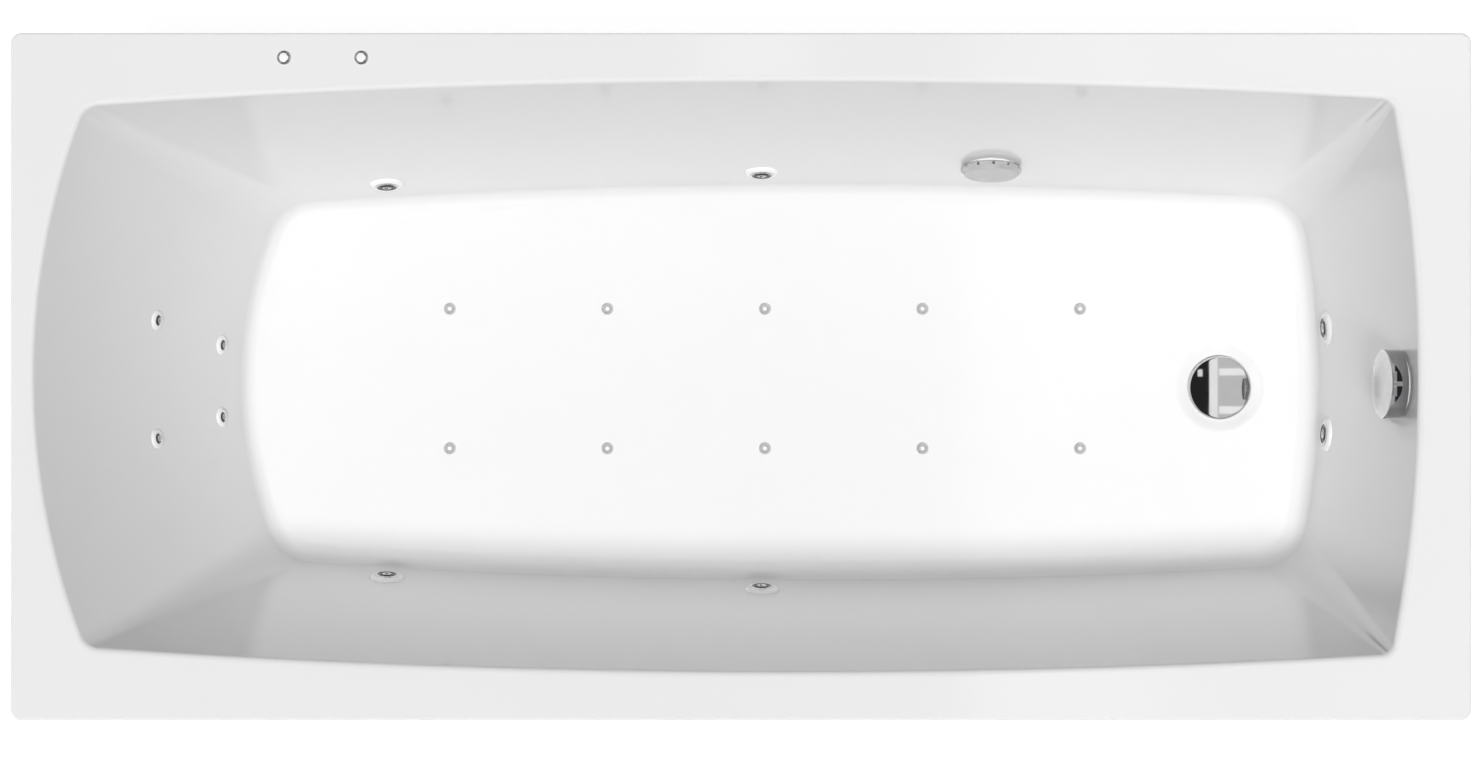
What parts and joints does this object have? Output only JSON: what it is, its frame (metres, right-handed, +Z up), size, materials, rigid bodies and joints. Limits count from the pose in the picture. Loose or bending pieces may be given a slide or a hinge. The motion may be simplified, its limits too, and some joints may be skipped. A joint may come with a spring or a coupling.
{
  "type": "jetted bathtub",
  "caption": "Rectangular white bathtub with water, back and air jets, suction, pump and blower on a steel frame, and a pop-up waste worked by the overflow knob.",
  "frame": {"origin": "on the room's floor, under the middle of the bath", "axes": "+X towards the waste end, +Y towards the side with the push buttons, +Z up"},
  "size_m": [1.7, 0.8, 0.5836],
  "materials": {
    "white_acrylic": "polished acrylic",
    "board": "sealed particle board",
    "frame_steel": "powder coat",
    "zinc_steel": "zinc plated",
    "white_fitting": "moulded",
    "white_pipe": "pressure pipe",
    "chrome": "polished",
    "satin_cover": "satin",
    "grey_hose": "ribbed hose",
    "black_rubber": "moulded",
    "pump_plastic": "glass filled",
    "motor_paint": "cast",
    "rotor_steel": "machined",
    "rotor_plastic": "moulded"
  },
  "bodies": {
    "bath": {"bath_shell": "white_acrylic", "base_board": "board", "cross_bearers": "frame_steel", "tray_rails": "frame_steel", "equipment_tray": "frame_steel", "rim_posts": "frame_steel", "frame_bolts": "zinc_steel", "leg_nuts": "zinc_steel", "jet_flanges": "white_fitting", "jet_lock_nuts": "white_pipe", "jet_bodies": "white_pipe", "back_jet_flanges": "white_fitting", "back_jet_nozzles": "chrome", "back_jet_bodies": "white_pipe", "air_jet_caps": "white_fitting", "air_jet_bodies": "white_pipe", "air_pipes": "white_pipe", "suction_cover": "satin_cover", "suction_flange": "white_fitting", "suction_body": "white_pipe", "suction_pipe": "white_pipe", "waste_flange": "chrome", "waste_body": "white_pipe", "trap_body": "white_pipe", "trap_nuts": "white_pipe", "overflow_flange": "white_pipe", "overflow_body": "white_pipe", "overflow_hose": "grey_hose", "lift_cable": "black_rubber", "button_bezels": "chrome", "button_tubes": "black_rubber", "pump_volute": "pump_plastic", "motor_casing": "motor_paint", "fan_cowl": "pump_plastic", "pump_mounts": "black_rubber", "water_pipes": "white_pipe", "blower_casing": "pump_plastic", "control_box": "pump_plastic"},
    "jet_ring_1": {"jet_ring_1": "chrome"},
    "jet_nozzle_1": {"jet_nozzle_1": "chrome"},
    "jet_ring_2": {"jet_ring_2": "chrome"},
    "jet_nozzle_2": {"jet_nozzle_2": "chrome"},
    "jet_ring_3": {"jet_ring_3": "chrome"},
    "jet_nozzle_3": {"jet_nozzle_3": "chrome"},
    "jet_ring_4": {"jet_ring_4": "chrome"},
    "jet_nozzle_4": {"jet_nozzle_4": "chrome"},
    "jet_ring_5": {"jet_ring_5": "chrome"},
    "jet_nozzle_5": {"jet_nozzle_5": "chrome"},
    "jet_ring_6": {"jet_ring_6": "chrome"},
    "jet_nozzle_6": {"jet_nozzle_6": "chrome"},
    "push_button_1": {"push_button_1": "chrome"},
    "push_button_2": {"push_button_2": "chrome"},
    "overflow_knob": {"overflow_knob": "chrome"},
    "waste_plug": {"waste_plug": "chrome"},
    "pump_rotor": {"pump_rotor": "rotor_steel"},
    "blower_rotor": {"blower_rotor": "rotor_plastic"},
    "levelling_leg_1": {"levelling_leg_1": "zinc_steel"},
    "levelling_leg_2": {"levelling_leg_2": "zinc_steel"},
    "levelling_leg_3": {"levelling_leg_3": "zinc_steel"},
    "levelling_leg_4": {"levelling_leg_4": "zinc_steel"}
  },
  "joints": [
    {"name": "jet_ring_1_turn", "type": "hinge", "parent": "bath", "child": "jet_ring_1", "pos_m": [-0.45, 0.24997, 0.215], "axis": [0.0536, -0.9731, 0.2239], "continuous": true},
    {"name": "jet_nozzle_1_tilt", "type": "hinge", "parent": "jet_ring_1", "child": "jet_nozzle_1", "pos_m": [-0.45, 0.24997, 0.215], "axis": [0.9985, 0.055, 0], "range_deg": [-12, 12]},
    {"name": "jet_ring_2_turn", "type": "hinge", "parent": "bath", "child": "jet_ring_2", "pos_m": [0.026, 0.26485, 0.215], "axis": [0.0073, -0.9772, 0.2121], "continuous": true},
    {"name": "jet_nozzle_2_tilt", "type": "hinge", "parent": "jet_ring_2", "child": "jet_nozzle_2", "pos_m": [0.026, 0.26485, 0.215], "axis": [1, 0.0075, 0], "range_deg": [-12, 12]},
    {"name": "jet_ring_3_turn", "type": "hinge", "parent": "bath", "child": "jet_ring_3", "pos_m": [-0.45, -0.24997, 0.215], "axis": [0.0536, 0.9731, 0.2239], "continuous": true},
    {"name": "jet_nozzle_3_tilt", "type": "hinge", "parent": "jet_ring_3", "child": "jet_nozzle_3", "pos_m": [-0.45, -0.24997, 0.215], "axis": [-0.9985, 0.055, 0], "range_deg": [-12, 12]},
    {"name": "jet_ring_4_turn", "type": "hinge", "parent": "bath", "child": "jet_ring_4", "pos_m": [0.026, -0.26485, 0.215], "axis": [0.0073, 0.9772, 0.2121], "continuous": true},
    {"name": "jet_nozzle_4_tilt", "type": "hinge", "parent": "jet_ring_4", "child": "jet_nozzle_4", "pos_m": [0.026, -0.26485, 0.215], "axis": [-1, 0.0075, 0], "range_deg": [-12, 12]},
    {"name": "jet_ring_5_turn", "type": "hinge", "parent": "bath", "child": "jet_ring_5", "pos_m": [0.74491, 0.0675, 0.207], "axis": [-0.9915, -0.061, 0.1148], "continuous": true},
    {"name": "jet_nozzle_5_tilt", "type": "hinge", "parent": "jet_ring_5", "child": "jet_nozzle_5", "pos_m": [0.74491, 0.0675, 0.207], "axis": [0.0614, -0.9981, 0], "range_deg": [-12, 12]},
    {"name": "jet_ring_6_turn", "type": "hinge", "parent": "bath", "child": "jet_ring_6", "pos_m": [0.74491, -0.0675, 0.207], "axis": [-0.9915, 0.061, 0.1148], "continuous": true},
    {"name": "jet_nozzle_6_tilt", "type": "hinge", "parent": "jet_ring_6", "child": "jet_nozzle_6", "pos_m": [0.74491, -0.0675, 0.207], "axis": [-0.0614, -0.9981, 0], "range_deg": [-12, 12]},
    {"name": "push_button_1_press", "type": "slide", "parent": "bath", "child": "push_button_1", "axis": [0, 0, -1], "range_m": [0, 0.003], "stiffness_N_per_m": 300, "springref_m": -0.002},
    {"name": "push_button_2_press", "type": "slide", "parent": "bath", "child": "push_button_2", "axis": [0, 0, -1], "range_m": [0, 0.003], "stiffness_N_per_m": 300, "springref_m": -0.002},
    {"name": "overflow_knob_turn", "type": "hinge", "parent": "bath", "child": "overflow_knob", "pos_m": [0.78132, -0.008, 0.512], "axis": [-0.9937, 0.005, 0.112], "range_deg": [0, 90]},
    {"name": "waste_plug_lift", "type": "slide", "parent": "bath", "child": "waste_plug", "axis": [0, 0, 1], "range_m": [0, 0.012]},
    {"name": "pump_rotor_spin", "type": "hinge", "parent": "bath", "child": "pump_rotor", "pos_m": [-0.752, 0, 0.172], "axis": [0, 1, 0], "continuous": true},
    {"name": "blower_rotor_spin", "type": "hinge", "parent": "bath", "child": "blower_rotor", "pos_m": [-0.755, -0.262, 0.15], "axis": [0, 0, 1], "continuous": true},
    {"name": "levelling_leg_1_screw", "type": "slide", "parent": "bath", "child": "levelling_leg_1", "axis": [0, 0, -1], "range_m": [-0.01, 0.02]},
    {"name": "levelling_leg_2_screw", "type": "slide", "parent": "bath", "child": "levelling_leg_2", "axis": [0, 0, -1], "range_m": [-0.01, 0.02]},
    {"name": "levelling_leg_3_screw", "type": "slide", "parent": "bath", "child": "levelling_leg_3", "axis": [0, 0, -1], "range_m": [-0.01, 0.02]},
    {"name": "levelling_leg_4_screw", "type": "slide", "parent": "bath", "child": "levelling_leg_4", "axis": [0, 0, -1], "range_m": [-0.01, 0.02]}
  ],
  "couplings": [
    {"joint": "waste_plug_lift", "follows": "overflow_knob_turn", "m_per_rad": 0.0076394}
  ]
}
